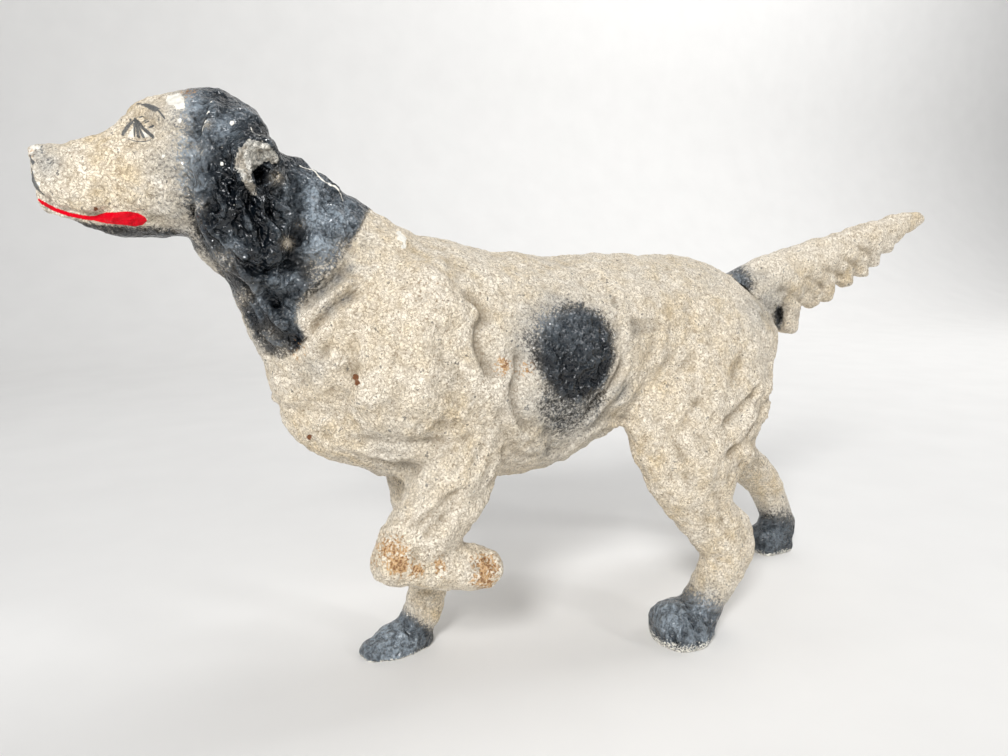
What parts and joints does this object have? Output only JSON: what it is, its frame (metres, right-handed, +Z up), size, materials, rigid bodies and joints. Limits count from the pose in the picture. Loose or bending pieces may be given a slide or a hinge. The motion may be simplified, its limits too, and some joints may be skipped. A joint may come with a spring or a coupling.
{
  "type": "doorstop",
  "caption": "Cast-iron doorstop in the form of a setter dog on point, one forepaw raised and tail out, cast in hollow halves that screws join, with flat soles.",
  "frame": {"origin": "middle of the object's footprint, on the floor under it; the parting plane of the two halves is Y = 0", "axes": "+X from the nose to the tail, +Y towards the dog's right side, +Z up from the floor"},
  "size_m": [0.3996, 0.0872, 0.2201],
  "materials": {
    "left_half_paint": "old cream enamel over rough cast iron, satin, speckled, with sprayed blue-black patches and black feet",
    "right_half_paint": "old cream enamel over rough cast iron, satin, speckled, with sprayed blue-black patches and black feet",
    "screw_steel": "old dark machine-screw steel with a little rust"
  },
  "bodies": {
    "root": {"left_half": "left_half_paint", "right_half": "right_half_paint", "front_screw": "screw_steel", "rear_screw": "screw_steel"}
  },
  "joints": []
}
